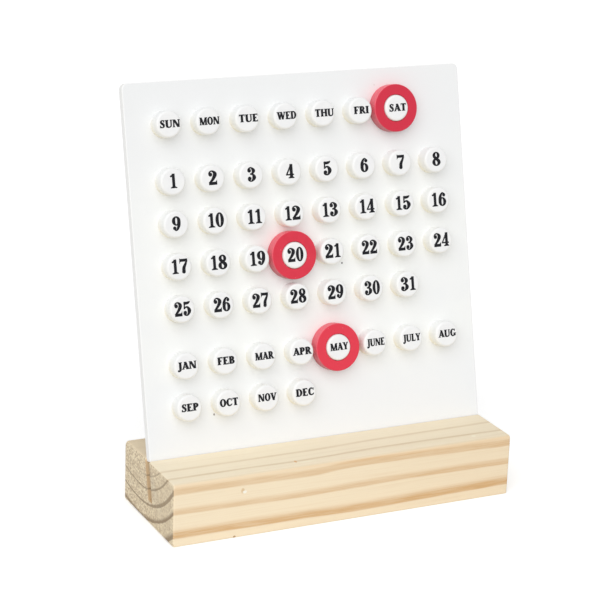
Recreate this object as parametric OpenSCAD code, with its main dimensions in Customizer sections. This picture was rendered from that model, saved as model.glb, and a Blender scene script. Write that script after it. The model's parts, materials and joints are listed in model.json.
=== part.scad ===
// A desk calendar for every year: a white board leans in the slot of a wooden base,
// its face carries a round stud for each weekday, date and month, and three rings
// that slip over the studs mark the day.
// Millimetres. The origin is the middle of the base's underside, +Z is up and
// the front of the calendar looks along -Y.

/* [Base] */
// Depth of the base from front to back
base_d = 62.5; // [45:0.5:90]
// Height of the base
base_h = 31.1; // [24:0.1:50]
// How far the base runs past the board at each end
base_overhang = 0.6; // [0:0.1:10]
// Rounding of the base's top edge at the front
front_edge_r = 2; // [0.5:0.1:4]
// Rounding of the base's top edge at the back
rear_edge_r = 3; // [0.5:0.1:4]
// Rounding of the upright edges and of the top edges across the ends
base_end_r = 1.2; // [0.5:0.1:3]
// Rounding of the edges round the underside
foot_edge_r = 0.8; // [0.3:0.1:3]

/* [Slot] */
// Lean of the slot and the board, back from upright, in degrees
lean = 13.6; // [5:0.1:22]
// Depth of the slot, measured along its lean
slot_depth = 19; // [10:0.5:24]
// Gap between the board and the slot's front wall
slot_clearance = 0.3; // [0.2:0.05:1.5]
// Distance of the board's face behind the base's middle, at the base's top
slot_setback = 0; // [-6:0.1:6]

/* [Board] */
// Thickness of the board
board_t = 4.4; // [2.5:0.1:6]
// Distance from the outer columns of studs to the board's sides
side_margin = 19.3; // [14:0.1:40]
// Distance from the weekday row to the board's top
top_margin = 20.2; // [14:0.1:40]
// Distance from the last month row down to the base's top
bottom_margin = 23.6; // [14:0.1:60]
// Radius of the board's upper corners
board_corner_r = 3; // [1:0.1:10]
// Radius of the board's lower corners, at the base
board_heel_r = 0.8; // [0.3:0.1:4]
// How far the full width of the board sinks below the base's top
board_sink = 0.8; // [0:0.1:4]
// How far the tongue stands in from the board's sides
tongue_inset = 12; // [4:0.5:60]
// Radius of the tongue's lower corners
tongue_corner_r = 2; // [0.5:0.1:6]

/* [Studs] */
// Distance from stud to stud, across and down
pitch = 20; // [18.5:0.1:30]
// Distance from the weekday row to the dates, and from the dates to the months
group_gap = 26.8; // [20:0.1:45]
// Diameter of a stud
stud_d = 12.8; // [8:0.1:14]
// Height of a stud
stud_h = 7.4; // [3:0.1:12]
// Rounding of a stud's rim
stud_rim_r = 1.2; // [0.3:0.1:1.5]

/* [Rings] */
// Outer diameter of a ring
ring_d = 23.3; // [18:0.1:25]
// Height of a ring
ring_h = 6.4; // [3:0.1:12]
// Gap all round between a ring and its stud
ring_clearance = 0.2; // [0.1:0.05:0.6]
// Rounding of a ring's outer edges
ring_edge_r = 0.4; // [0.2:0.1:1.2]
// Rounding of a ring's edges round its hole
ring_bore_r = 0.2; // [0.1:0.1:0.6]

/* [Day shown] */
// Weekday that wears a ring
shown_weekday = "sat"; // [sun, mon, tue, wed, thu, fri, sat]
// Date that wears a ring
shown_date = 20; // [1:1:31]
// Month that wears a ring
shown_month = "may"; // [jan, feb, mar, apr, may, jun, jul, aug, sep, oct, nov, dec]

/* [Hidden] */
$fn = 64;
columns = 8;
last_date = 31;
WEEKDAYS = ["sun", "mon", "tue", "wed", "thu", "fri", "sat"];
MONTHS = ["jan", "feb", "mar", "apr", "may", "jun", "jul", "aug", "sep", "oct", "nov", "dec"];

board_w = (columns - 1) * pitch + 2 * side_margin;
base_l = board_w + 2 * base_overhang;

// Rows below the first one in a group of this many studs
function rows_below(count) = ceil(count / columns) - 1;

// Heights of the groups' first rows above the base's top, measured along the board
month_v = bottom_margin + rows_below(len(MONTHS)) * pitch;
date_v = month_v + group_gap + rows_below(last_date) * pitch;
weekday_v = date_v + group_gap;
board_h = weekday_v + top_margin;

// Place on the board of stud i, counted from 0, in a group whose first row is at first_v
function seat(i, first_v) =
    [(i % columns - (columns - 1) / 2) * pitch, first_v - floor(i / columns) * pitch];

// A date's two-digit name
function two_digits(n) = str(n < 10 ? "0" : "", n);

// Every stud as a name and its place on the board
STUDS = concat(
    [for (i = [0 : len(WEEKDAYS) - 1]) [str("stud_", WEEKDAYS[i]), seat(i, weekday_v)]],
    [for (i = [0 : last_date - 1]) [str("stud_date_", two_digits(i + 1)), seat(i, date_v)]],
    [for (i = [0 : len(MONTHS) - 1]) [str("stud_", MONTHS[i]), seat(i, month_v)]]
);

// Place on the board of the stud with this name
function place_of(name) = [for (stud = STUDS) if (stud[0] == name) stud[1]][0];

// Every ring as a name and the place of the stud that wears it
RINGS = [
    ["ring_weekday", place_of(str("stud_", shown_weekday))],
    ["ring_date", place_of(str("stud_date_", two_digits(shown_date)))],
    ["ring_month", place_of(str("stud_", shown_month))]
];

// A rectangle centred on the origin, with its upper and lower corners rounded by
// these radii, and its upper right one by another where that is given
module rounded_rectangle(w, h, upper_r, lower_r, right_r = undef) {
    difference() {
        square([w, h], center = true);
        corner_cut([w / 2, h / 2], is_undef(right_r) ? upper_r : right_r, [1, 1]);
        corner_cut([-w / 2, h / 2], upper_r, [-1, 1]);
        for (x = [-1, 1])
            corner_cut([x * w / 2, -h / 2], lower_r, [x, -1]);
    }
}

// Half of a round disc's section, from the axis or a bore out to radius outer,
// with its corners rounded by the given radii
module disc_section(inner, outer, h, back_r, front_r, bore_r = 0) {
    difference() {
        translate([inner, 0])
            square([outer - inner, h]);
        corner_cut([outer, h], front_r, [1, 1]);
        if (back_r > 0)
            corner_cut([outer, 0], back_r, [1, -1]);
        if (bore_r > 0) {
            corner_cut([inner, h], bore_r, [-1, 1]);
            corner_cut([inner, 0], bore_r, [-1, -1]);
        }
    }
}

// What a rounding of radius r takes off the corner at point p that looks along way
module corner_cut(p, r, way) {
    translate(p - r * way)
        difference() {
            scale(way)
                square(r + r);
            circle(r);
        }
}

// The board's own frame: x across, y up the board from the base's top, z out of its face
module on_board() {
    translate([0, slot_setback, base_h])
        rotate([90 - lean, 0, 0])
            children();
}

// A block with every edge eased: its three outlines, each drawn out, in common
module eased_block(l, d, h) {
    intersection() {
        rotate([90, 0, 90])
            linear_extrude(l, center = true)
                rounded_rectangle(d, h, front_edge_r, foot_edge_r, rear_edge_r);
        linear_extrude(h, center = true)
            rounded_rectangle(l, d, base_end_r, base_end_r);
        rotate([90, 0, 0])
            linear_extrude(d, center = true)
                rounded_rectangle(l, h, base_end_r, foot_edge_r);
    }
}

// Pine block with a sawn slot along its whole length
module base_block() {
    color("burlywood")
        difference() {
            translate([0, 0, base_h / 2])
                eased_block(base_l, base_d, base_h);
            on_board()
                translate([-base_l, -slot_depth, -board_t])
                    cube([2 * base_l, slot_depth + base_h, board_t + slot_clearance]);
        }
}

// White board with a tongue that stands on the slot's floor
module calendar_board() {
    body_h = board_h + board_sink;
    tongue_w = board_w - 2 * tongue_inset;
    tongue_h = slot_depth + body_h / 2;
    color("white")
        on_board()
            translate([0, 0, -board_t])
                linear_extrude(board_t) {
                    translate([0, body_h / 2 - board_sink])
                        rounded_rectangle(board_w, body_h, board_corner_r, board_heel_r);
                    translate([0, tongue_h / 2 - slot_depth])
                        rounded_rectangle(tongue_w, tongue_h, tongue_corner_r, tongue_corner_r);
                }
}

// Round stud with a soft rim, flat on the board
module stud(place) {
    color("whitesmoke")
        on_board()
            translate(place)
                rotate_extrude()
                    disc_section(0, stud_d / 2, stud_h, 0, stud_rim_r);
}

// Red ring that slips over a stud and lies on the board
module ring(place) {
    color("crimson")
        on_board()
            translate(place)
                rotate_extrude()
                    disc_section(stud_d / 2 + ring_clearance, ring_d / 2, ring_h,
                                 ring_edge_r, ring_edge_r, ring_bore_r);
}

base_block();
calendar_board();
for (s = STUDS) stud(s[1]);
for (r = RINGS) ring(r[1]);
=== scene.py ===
"""Looks of a desk calendar for every year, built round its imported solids.

A white board leans in the slot of a pine base. Its studs carry the names of the days and the
months and the numbers of the dates, and three red rings mark the day. Meshes are in metres, in
the solids' own frame: their places and main sizes are read from the solids and the joints' axes.
"""

import json
import logging
import math
from collections.abc import Sequence
from dataclasses import dataclass
from enum import Enum
from typing import Any

import bpy
import numpy as np
from mathutils import Matrix, Vector
from mathutils.geometry import delaunay_2d_cdt
from numpy.typing import NDArray


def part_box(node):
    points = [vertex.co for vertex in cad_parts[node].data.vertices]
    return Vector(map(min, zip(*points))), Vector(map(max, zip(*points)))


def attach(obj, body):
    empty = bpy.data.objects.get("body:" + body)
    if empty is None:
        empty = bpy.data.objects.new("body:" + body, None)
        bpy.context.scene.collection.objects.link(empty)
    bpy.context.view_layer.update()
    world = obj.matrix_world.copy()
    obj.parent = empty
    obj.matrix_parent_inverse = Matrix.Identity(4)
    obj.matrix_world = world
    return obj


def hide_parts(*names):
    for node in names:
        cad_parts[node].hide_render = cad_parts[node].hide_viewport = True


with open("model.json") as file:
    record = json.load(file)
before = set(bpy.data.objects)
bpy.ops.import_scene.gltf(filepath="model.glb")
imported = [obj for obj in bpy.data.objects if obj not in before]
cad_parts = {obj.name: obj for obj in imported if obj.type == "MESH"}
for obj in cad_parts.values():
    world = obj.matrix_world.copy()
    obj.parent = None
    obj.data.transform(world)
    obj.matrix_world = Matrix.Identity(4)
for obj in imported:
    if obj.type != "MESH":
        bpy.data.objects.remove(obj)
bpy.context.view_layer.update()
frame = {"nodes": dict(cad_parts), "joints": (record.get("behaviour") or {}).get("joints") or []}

Array = NDArray[np.float64]
Indices = NDArray[np.int_]
Pair = tuple[float, float]
Place = tuple[float, float, float]
Colour = tuple[float, float, float]
Face = Sequence[int]
Socket = bpy.types.NodeSocket
Material = bpy.types.Material

MM = 0.001
SHARP_DEGREES = 35.0
WHITE = (1.0, 1.0, 1.0)
log = logging.getLogger("calendar")


class Body(Enum):
    """The bodies that the pieces ride on."""

    BASE = "base"
    BOARD = "board"
    WEEKDAY = "weekday_marker"
    DATE = "date_marker"
    MONTH = "month_marker"


class Slot(Enum):
    """The record's material slots."""

    PINE = "pine"
    BOARD = "white_board"
    STUD = "white_stud"
    RING = "red_ring"


def seen(red: int, green: int, blue: int) -> Colour:
    """The linear light, by the sRGB curve, of a colour as it is seen, given from 0 to 255."""
    value = np.array([red, green, blue]) / 255
    light = np.where(value > 0.04045, ((value + 0.055) / 1.055) ** 2.4, value / 12.92)
    return tuple(float(part) for part in light)


@dataclass(frozen=True)
class Step:
    """A soft step from start to end while a value goes from low to high."""

    low: float
    high: float
    start: float = 0.0
    end: float = 1.0


@dataclass(frozen=True)
class Grain:
    """Smooth noise: its waves in a millimetre along each axis, and how many finer ones it adds."""

    waves: Place
    detail: float

    @classmethod
    def even(cls, waves: float, detail: float) -> "Grain":
        """Noise that is alike along every axis."""
        return cls((waves, waves, waves), detail)


@dataclass(frozen=True)
class Nick:
    """A small mark on a surface: an oval of its own colour, in millimetres.

    Its edge says how strong it is by the way from its middle, in shares of its radii.
    """

    place: Place
    radii: Place
    colour: Colour
    edge: Step = Step(1.15, 0.6)


class Wiring:
    """A tree of shader nodes under construction."""

    def __init__(self, tree: bpy.types.NodeTree) -> None:
        """Take up a tree."""
        self.tree = tree

    def feed(self, socket: Socket, value: Any) -> None:
        """Link a socket into an input, or set a number or colour on it."""
        if isinstance(value, Socket):
            self.tree.links.new(value, socket)
        elif isinstance(value, tuple) and len(socket.default_value) == 4:
            socket.default_value = (*value, 1.0)
        else:
            socket.default_value = value

    def node(
            self, kind: str, inputs: dict[int | str, Any] | None = None, **settings: Any
    ) -> bpy.types.Node:
        """Add a node.

        Args:
            kind: Blender's name of the node's type.
            inputs: what goes into its inputs, by index or name.
            settings: the node's own settings.

        Returns:
            The new node.
        """
        made = self.tree.nodes.new(kind)
        for key, value in settings.items():
            setattr(made, key, value)
        for key, value in (inputs or {}).items():
            self.feed(made.inputs[key], value)
        return made

    def math(self, operation: str, *values: Any) -> Socket:
        """The result of one step of arithmetic."""
        return self.node("ShaderNodeMath", dict(enumerate(values)), operation=operation).outputs[0]


class Shader(Wiring):
    """A material under construction, with short calls for the nodes that it uses.

    The place socket gives the piece's object coordinates in millimetres, and x, y and z its parts.
    """

    def __init__(self, name: str) -> None:
        """Start a material with a plain surface.

        Args:
            name: the material's name.
        """
        self.material = bpy.data.materials.new(name)
        self.material.use_nodes = True
        super().__init__(self.material.node_tree)
        self.surface = self.tree.nodes["Principled BSDF"]
        metres = self.node("ShaderNodeTexCoord").outputs["Object"]
        scaled = self.node("ShaderNodeVectorMath", {0: metres, "Scale": 1 / MM}, operation="SCALE")
        self.place = scaled.outputs[0]
        self.x, self.y, self.z = self.node("ShaderNodeSeparateXYZ", {0: self.place}).outputs

    def noise(self, grain: Grain) -> Socket:
        """Smooth noise from 0 to 1, about 0.5 on average."""
        waves = self.node("ShaderNodeMapping", {"Vector": self.place, "Scale": grain.waves})
        inputs = {"Vector": waves.outputs[0], "Scale": 1.0, "Detail": grain.detail}
        return self.node("ShaderNodeTexNoise", inputs).outputs[0]

    def rise(self, value: Socket, step: Step) -> Socket:
        """The height of a soft step at a value."""
        inputs = {
            "Value": value, "From Min": step.low, "From Max": step.high,
            "To Min": step.start, "To Max": step.end}
        return self.node("ShaderNodeMapRange", inputs, interpolation_type="SMOOTHSTEP").outputs[0]

    def curve(self, value: Socket, places: Sequence[float], heights: Sequence[float]) -> Socket:
        """A smooth curve through points, level past its ends.

        Args:
            value: the socket that is followed.
            places: its values at the points, rising.
            heights: the curve's heights there, not all alike.

        Returns:
            The curve's height at the value.
        """
        given = np.array([places, heights]).T
        low, high = given.min(0), given.max(0)
        shares = (given - low) / (high - low)
        inputs = {"Value": value, "From Min": low[0], "From Max": high[0]}
        share = self.node("ShaderNodeMapRange", inputs).outputs[0]
        bent = self.node("ShaderNodeFloatCurve", {"Value": share})
        points = bent.mapping.curves[0].points
        for place, height in shares[1:-1]:
            points.new(place, height)
        points[0].location[1], points[-1].location[1] = shares[[0, -1], 1]
        bent.mapping.update()
        return self.math("MULTIPLY_ADD", bent.outputs[0], high[1] - low[1], low[1])

    def mix(self, share: Any, low: Any, high: Any) -> Socket:
        """A blend of two colours by a share."""
        return self.node("ShaderNodeMix", {0: share, 6: low, 7: high}, data_type="RGBA").outputs[2]

    def specks(self, scale: float, size: float) -> Socket:
        """Scattered round specks: 1 within a small distance of the cells' centres.

        Args:
            scale: cells per millimetre.
            size: a speck's radius as a share of a cell.

        Returns:
            The specks' mask.
        """
        cells = self.node("ShaderNodeTexVoronoi", {"Vector": self.place, "Scale": scale})
        return self.rise(cells.outputs["Distance"], Step(size, size / 2))

    def dab(self, colour: Socket, nick: Nick) -> Socket:
        """A colour with a small mark laid over it, by the way from the mark's middle over its radii.

        Args:
            colour: the colour round the mark.
            nick: the mark.

        Returns:
            The colour, which is the mark's own near its middle.
        """
        off = self.node("ShaderNodeVectorMath", {0: self.place, 1: nick.place}, operation="SUBTRACT")
        oval = self.node("ShaderNodeVectorMath", {0: off.outputs[0], 1: nick.radii}, operation="DIVIDE")
        size = self.node("ShaderNodeVectorMath", {0: oval.outputs[0]}, operation="LENGTH")
        return self.mix(self.rise(size.outputs["Value"], nick.edge), colour, nick.colour)

    def attribute(self, name: str) -> Socket:
        """A number that the mesh carries at each point or face."""
        return self.node("ShaderNodeAttribute", attribute_name=name).outputs["Fac"]

    def dress(self, colour: Socket, roughness: Socket, gloss: float) -> None:
        """Give the surface its colour, roughness and gloss."""
        self.feed(self.surface.inputs["Base Color"], colour)
        self.feed(self.surface.inputs["Roughness"], roughness)
        self.surface.inputs["Specular IOR Level"].default_value = gloss

    def bump(self, height: Socket, strength: float, depth: float) -> None:
        """Let a height, in shares of a depth in millimetres, tilt the surface."""
        inputs = {"Height": height, "Strength": strength, "Distance": depth * MM}
        self.feed(self.surface.inputs["Normal"], self.node("ShaderNodeBump", inputs).outputs[0])


@dataclass(frozen=True)
class GrowthRing:
    """The dark wood of one late summer, by distance from the pith line in millimetres.

    It deepens softly from start to full, holds up to its edge and is gone fade past it. Strength
    and arc are its depth on the sides and on the ends. Towards the back it grows narrower, as
    many times as taper says. Sway is how much nearer to the pith it runs at some stations.
    """

    start: float
    full: float
    edge: float
    fade: float
    strength: float
    arc: float
    taper: float
    sway: tuple[float, ...]


SWAY_AT = (-80.0, -50.0, -23.0, 5.0, 35.0, 60.0, 82.0)
PINE_RINGS = (
    GrowthRing(39.6, 40.8, 41.2, 0.6, 0.42, 0.45, 2.6, (0.0, 0.1, 0.1, 0.61, 1.43, 1.5, 1.74)),
    GrowthRing(46.2, 47.2, 47.6, 0.6, 0.52, 0.75, 1.5, (0.0, 0.07, -0.2, 0.67, 1.1, 0.9, 0.5)),
    GrowthRing(53.3, 54.6, 55.8, 0.7, 0.55, 0.8, 2.4, (0.0, -0.1, -0.35, 0.48, 0.41, 0.19, -0.19)),
    GrowthRing(60.0, 62.3, 62.8, 0.7, 0.57, 0.9, 1.0, (0.0, -0.33, -0.48, -0.04, 0.18, 0.11, 0.0)),
    GrowthRing(67.7, 71.0, 71.9, 0.8, 0.85, 0.9, 1.0, (0.0, -0.04, -0.12, -0.45, -0.04, 0.36, 0.69)),
)
PINE_NICKS = (
    # The first nick is a painted shade on the left of the pale chip beside it.
    Nick((-55.0, -31.2, 23.3), (1.0, 1.5, 1.5), seen(231, 203, 162)),
    Nick((-54.0, -31.2, 22.6), (1.2, 1.2, 0.8), seen(255, 250, 236)),
    Nick((-25.0, -24.6, 31.1), (0.7, 1.3, 1.5), seen(224, 178, 124)),
    Nick((-19.5, -26.3, 31.1), (4.6, 0.8, 1.5), seen(254, 244, 218)),
    Nick((71.8, -25.6, 31.1), (1.3, 1.0, 1.5), seen(254, 244, 218)),
    Nick((-58.8, -31.2, 0.6), (0.8, 1.5, 0.6), seen(188, 158, 118)),
)


@dataclass(frozen=True)
class PineFinish:
    """Planed pine with growth rings about a pith line that runs along the block, above it.

    A point's distance from that line says in which ring it lies, and each ring sways along the
    block. Fibres run along it, the ends are greyer and speckled, and the sawn slot is brown.
    Lengths are in millimetres. The corner is the depth and height of the front top edge, and a
    band says how far from its face or edge a change begins and how far from it the change is full.
    """

    half_length: float
    corner: Pair
    rings: tuple[GrowthRing, ...] = PINE_RINGS
    nicks: tuple[Nick, ...] = PINE_NICKS
    pith: Pair = (11.0, 63.0)
    rear_stretch: float = 0.75
    drift: Grain = Grain((0.018, 0.05, 0.05), 2.0)
    drift_reach: float = 0.2
    fray: Grain = Grain((0.05, 0.9, 0.9), 3.0)
    fray_reach: float = 0.6
    narrowing: Step = Step(-22.0, 22.0)
    arc_power: float = 1.8
    early: Colour = seen(251, 234, 203)
    late: Colour = seen(219, 178, 127)
    torn: Grain = Grain((0.07, 2.2, 2.2), 3.0)
    torn_share: Step = Step(0.35, 0.65, 0.8, 1.12)
    fibre: Grain = Grain((0.03, 1.6, 1.6), 4.0)
    fibre_tone: Step = Step(0.45, 0.75, 0.0, 0.1)
    streak: Grain = Grain((0.012, 0.35, 0.35), 3.0)
    streak_tone: Step = Step(0.5, 0.8, 0.0, 0.12)
    right_tone: float = 0.12
    # A painted shade along the front top edge.
    edge_band: Pair = (2.0, 1.2)
    edge_tone: float = 0.27
    # Painted light on the top: paler, less orange colours for the bounce from the white board.
    top_early: Colour = seen(251, 238, 211)
    top_late: Colour = seen(213, 187, 148)
    top_band: Pair = (0.8, 0.2)
    # A painted shadow of the board on the top behind it.
    behind: Step = Step(4.0, 6.0)
    behind_tone: float = 0.46
    end_pale: Colour = seen(251, 236, 204)
    end_deep: Colour = seen(199, 177, 145)
    end_ring: Colour = seen(148, 126, 98)
    end_band: Pair = (0.36, 0.12)
    end_foot: Step = Step(0.8, 2.0, 0.5, 0.0)
    pores: Grain = Grain((0.42, 0.7875, 1.05), 4.0)
    pore_share: Step = Step(0.3, 0.7, -0.5, 0.5)
    pore_depth: Step = Step(-22.0, 14.0, 0.5, 1.1)
    patches: Grain = Grain((0.18, 0.2475, 0.45), 2.0)
    patch_share: Step = Step(0.35, 0.65, 0.38, 0.62)
    kerf: Colour = seen(228, 204, 167)
    saw: Grain = Grain((0.9, 0.05, 0.05), 2.0)
    saw_share: Step = Step(0.35, 0.7, 0.0, 0.3)
    slot_ring: float = 1.25
    roughness: Step = Step(0.3, 0.7, 0.52, 0.68)
    gloss: float = 0.3
    late_height: float = 0.5
    pore_height: float = 0.5
    bump_strength: float = 0.4
    bump_depth: float = 0.14

    def distance(self, shader: Shader) -> Socket:
        """How far a point lies from the pith line.

        It is the root of the squares' sum of the ways across and down, where the way across
        counts less behind the line, with noise added.

        Args:
            shader: the material under construction.

        Returns:
            The distance in millimetres.
        """
        across = shader.math("SUBTRACT", shader.y, self.pith[0])
        behind = shader.math("MAXIMUM", across, 0.0)
        across = shader.math("MULTIPLY_ADD", behind, self.rear_stretch - 1, across)
        down = shader.math("SUBTRACT", shader.z, self.pith[1])
        squares = shader.math(
            "ADD", shader.math("MULTIPLY", across, across), shader.math("MULTIPLY", down, down))
        total = shader.math("SQRT", squares)
        for grain, most in ((self.drift, self.drift_reach), (self.fray, self.fray_reach)):
            off = shader.math("SUBTRACT", shader.noise(grain), 0.5)
            total = shader.math("MULTIPLY_ADD", off, most, total)
        return total

    def latewood(self, shader: Shader) -> tuple[Socket, Socket]:
        """How deep a point lies in the dark wood of a late summer.

        Args:
            shader: the material under construction.

        Returns:
            The depth on the sides and that on the ends, where the lines are narrower.
        """
        distance = self.distance(shader)
        rearward = shader.rise(shader.y, self.narrowing)
        sides = ends = 0.0
        for ring in self.rings:
            past = shader.math("ADD", distance, shader.curve(shader.x, SWAY_AT, ring.sway))
            past = shader.math("SUBTRACT", past, ring.full)
            narrow = shader.math("MULTIPLY_ADD", rearward, ring.taper - 1, 1.0)
            own = shader.math("MULTIPLY_ADD", past, narrow, ring.full)
            grown = shader.math(
                "MULTIPLY", shader.rise(own, Step(ring.start, ring.full)),
                shader.rise(own, Step(ring.edge, ring.edge + ring.fade, 1.0, 0.0)))
            sides = shader.math("MULTIPLY_ADD", grown, ring.strength, sides)
            line = shader.math("POWER", grown, self.arc_power)
            ends = shader.math("MULTIPLY_ADD", line, ring.arc, ends)
        return sides, ends

    def side_tone(self, shader: Shader, dark: Socket, fibre: Socket, upper: Socket) -> Socket:
        """How dark a planed side is: late wood, torn by fine noise, to which other marks add.

        These are fibres, streaks, a slow growth to the right, a painted shade along the front top
        edge and a painted shadow of the board on the top behind it.

        Args:
            shader: the material under construction.
            dark: how deep a point lies in late wood.
            fibre: the fibres' noise.
            upper: 1 on the top and 0 below it.

        Returns:
            The share of the late wood's colour.
        """
        brink = self.corner[1] - self.corner[0]
        # Painted shade along the front top edge, which dims the light on its rounding.
        edge = Step(brink - self.edge_band[0], brink - self.edge_band[1], 0.0, self.edge_tone)
        right = Step(-self.half_length / 2, self.half_length, 0.0, self.right_tone)
        slant = shader.math("SUBTRACT", shader.z, shader.y)
        streak = shader.noise(self.streak)
        torn = shader.rise(shader.noise(self.torn), self.torn_share)
        tone = shader.math("MULTIPLY", dark, torn)
        for value, step in (
                (fibre, self.fibre_tone), (streak, self.streak_tone), (shader.x, right), (slant, edge)):
            tone = shader.math("ADD", tone, shader.rise(value, step))
        # Painted shadow of the board: darker on the top behind it.
        behind = shader.math("MULTIPLY", upper, shader.rise(shader.y, self.behind))
        return shader.math("MULTIPLY_ADD", behind, self.behind_tone, tone)

    def end_colour(self, shader: Shader, pores: Socket, lines: Socket) -> Socket:
        """The colour of the ends: pores that show more towards the back, in patches, under the rings.

        Args:
            shader: the material under construction.
            pores: the pores' noise.
            lines: how deep a point lies in late wood.

        Returns:
            The colour.
        """
        patches = shader.rise(shader.noise(self.patches), self.patch_share)
        depth = shader.rise(shader.y, self.pore_depth)
        speckle = shader.math("MULTIPLY_ADD", shader.rise(pores, self.pore_share), depth, patches)
        return shader.mix(lines, shader.mix(speckle, self.end_pale, self.end_deep), self.end_ring)

    def slot_colour(self, shader: Shader, dark: Socket) -> Socket:
        """The colour of the sawn slot: marks of the saw, crossed by the growth rings.

        Args:
            shader: the material under construction.
            dark: how deep a point lies in late wood.

        Returns:
            The colour.
        """
        marks = shader.rise(shader.noise(self.saw), self.saw_share)
        crossed = shader.math("MULTIPLY", dark, self.slot_ring)
        return shader.mix(crossed, shader.mix(marks, self.kerf, self.late), self.end_ring)

    def material(self) -> Material:
        """Build the pine material."""
        shader = Shader("planed_pine")
        fibre, pores = shader.noise(self.fibre), shader.noise(self.pores)
        dark, lines = self.latewood(shader)
        top = self.corner[1]
        upper = shader.rise(shader.z, Step(top - self.top_band[0], top - self.top_band[1]))
        tone = self.side_tone(shader, dark, fibre, upper)
        # The top takes paler, less orange colours: painted light, the bounce from the white board.
        side = shader.mix(
            tone, shader.mix(upper, self.early, self.top_early),
            shader.mix(upper, self.late, self.top_late))
        out = shader.math(
            "ADD", shader.math("ABSOLUTE", shader.x), shader.rise(shader.z, self.end_foot))
        end = shader.rise(
            out, Step(self.half_length - self.end_band[0], self.half_length - self.end_band[1]))
        wood = shader.mix(end, side, self.end_colour(shader, pores, lines))
        for nick in self.nicks:
            wood = shader.dab(wood, nick)
        colour = shader.mix(shader.attribute("kerf"), wood, self.slot_colour(shader, dark))
        shader.dress(colour, shader.rise(fibre, self.roughness), self.gloss)
        grain = shader.math("MULTIPLY_ADD", tone, self.late_height, fibre)
        open_ends = shader.math("MULTIPLY", end, pores)
        height = shader.math("MULTIPLY_ADD", open_ends, self.pore_height, grain)
        shader.bump(height, self.bump_strength, self.bump_depth)
        return shader.material


@dataclass(frozen=True)
class PlasticFinish:
    """Satin plastic: a colour that clouds softly, a few specks and a slightly uneven skin.

    Over some heights in millimetres it fades to other colours. The walls of a piece, where its
    mesh says so, take a paler colour, painted light and reflection, and lean towards a painted
    shade where they look down and near the board.
    """

    name: str
    colour: Colour
    cloud: Colour
    wall: Colour
    under: Colour
    speck: Colour
    fades: tuple[tuple[Step, Colour], ...] = ()
    nicks: tuple[Nick, ...] = ()
    clouds: Grain = Grain.even(0.05, 2.0)
    cloud_share: Step = Step(0.35, 0.7)
    speck_scale: float = 0.035
    speck_size: float = 0.01
    skin: Grain = Grain.even(1.4, 3.0)
    skin_strength: float = 0.2
    skin_depth: float = 0.02
    roughness: Step = Step(0.3, 0.7, 0.32, 0.42)
    gloss: float = 0.5

    def material(self) -> Material:
        """Build the plastic material."""
        shader = Shader(self.name)
        skin = shader.noise(self.skin)
        clouds = shader.rise(shader.noise(self.clouds), self.cloud_share)
        colour = shader.mix(clouds, self.colour, self.cloud)
        for step, tint in self.fades:
            colour = shader.mix(shader.rise(shader.z, step), colour, tint)
        # Painted light and reflection: the walls take a paler colour of their own.
        colour = shader.mix(shader.attribute("wall"), colour, self.wall)
        # Painted shade: the walls lean towards a darker colour where they look down and near the board.
        colour = shader.mix(shader.attribute("under"), colour, self.under)
        colour = shader.mix(shader.specks(self.speck_scale, self.speck_size), colour, self.speck)
        for nick in self.nicks:
            colour = shader.dab(colour, nick)
        shader.dress(colour, shader.rise(skin, self.roughness), self.gloss)
        shader.bump(skin, self.skin_strength, self.skin_depth)
        return shader.material


@dataclass(frozen=True)
class InkFinish:
    """Printed ink: nearly black, a little thinner in places."""

    colour: Colour = seen(18, 19, 24)
    thin: Colour = seen(34, 36, 42)
    cover: Grain = Grain.even(2.2, 3.0)
    thin_share: Step = Step(0.5, 0.8)
    roughness: Step = Step(0.3, 0.7, 0.5, 0.65)
    gloss: float = 0.18
    bump_strength: float = 0.15
    bump_depth: float = 0.02

    def material(self) -> Material:
        """Build the ink material."""
        shader = Shader("printed_ink")
        cover = shader.noise(self.cover)
        colour = shader.mix(shader.rise(cover, self.thin_share), self.colour, self.thin)
        shader.dress(colour, shader.rise(cover, self.roughness), self.gloss)
        shader.bump(cover, self.bump_strength, self.bump_depth)
        return shader.material


# The board's walls take a slightly paler colour than its face: painted light on its edges.
WHITE_BOARD = PlasticFinish(
    "white_board", colour=seen(248, 249, 247), cloud=seen(246, 247, 246), wall=seen(251, 251, 249),
    under=seen(243, 243, 238), speck=seen(150, 140, 128),
    # Painted shade: the board greys a little towards its foot and its top.
    fades=((Step(85.0, 33.0), seen(243, 245, 247)), (Step(120.0, 190.0), seen(243, 244, 244))),
    nicks=(
        Nick((-55.0, 4.2, 48.6), (0.42, 0.5, 0.6), seen(120, 112, 106)),
        Nick((18.1, 19.7, 112.5), (0.55, 0.6, 0.5), seen(112, 113, 115)),
        Nick((42.0, 39.8, 195.5), (0.5, 0.5, 0.5), seen(231, 231, 229))))
# The studs' under colour is a cream painted shade on the walls where they look down and near the board.
WHITE_STUD = PlasticFinish(
    "white_stud", colour=seen(246, 246, 245), cloud=seen(243, 243, 243), wall=seen(246, 247, 247),
    under=seen(252, 241, 208), speck=seen(200, 190, 175),
    clouds=Grain.even(0.2, 2.0), speck_scale=0.05, speck_size=0.006, skin_depth=0.008)
# The ring's walls take a paler pink than its face: painted reflection and light on the sides.
RED_RING = PlasticFinish(
    "red_ring", colour=seen(219, 40, 66), cloud=seen(214, 36, 62), wall=seen(241, 97, 115),
    under=seen(186, 92, 98), speck=seen(244, 150, 160),
    fades=((Step(125.0, 80.0), seen(226, 47, 70)), (Step(150.0, 180.0), seen(209, 29, 60))),
    clouds=Grain.even(0.25, 2.0), speck_scale=0.28, speck_size=0.055, skin_depth=0.03,
    roughness=Step(0.3, 0.7, 0.36, 0.48))


def axis_of(joint: str) -> Array:
    """The direction that a sliding joint moves along."""
    return next(np.array(row["axis"], float) for row in frame["joints"] if row["name"] == joint)


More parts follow.
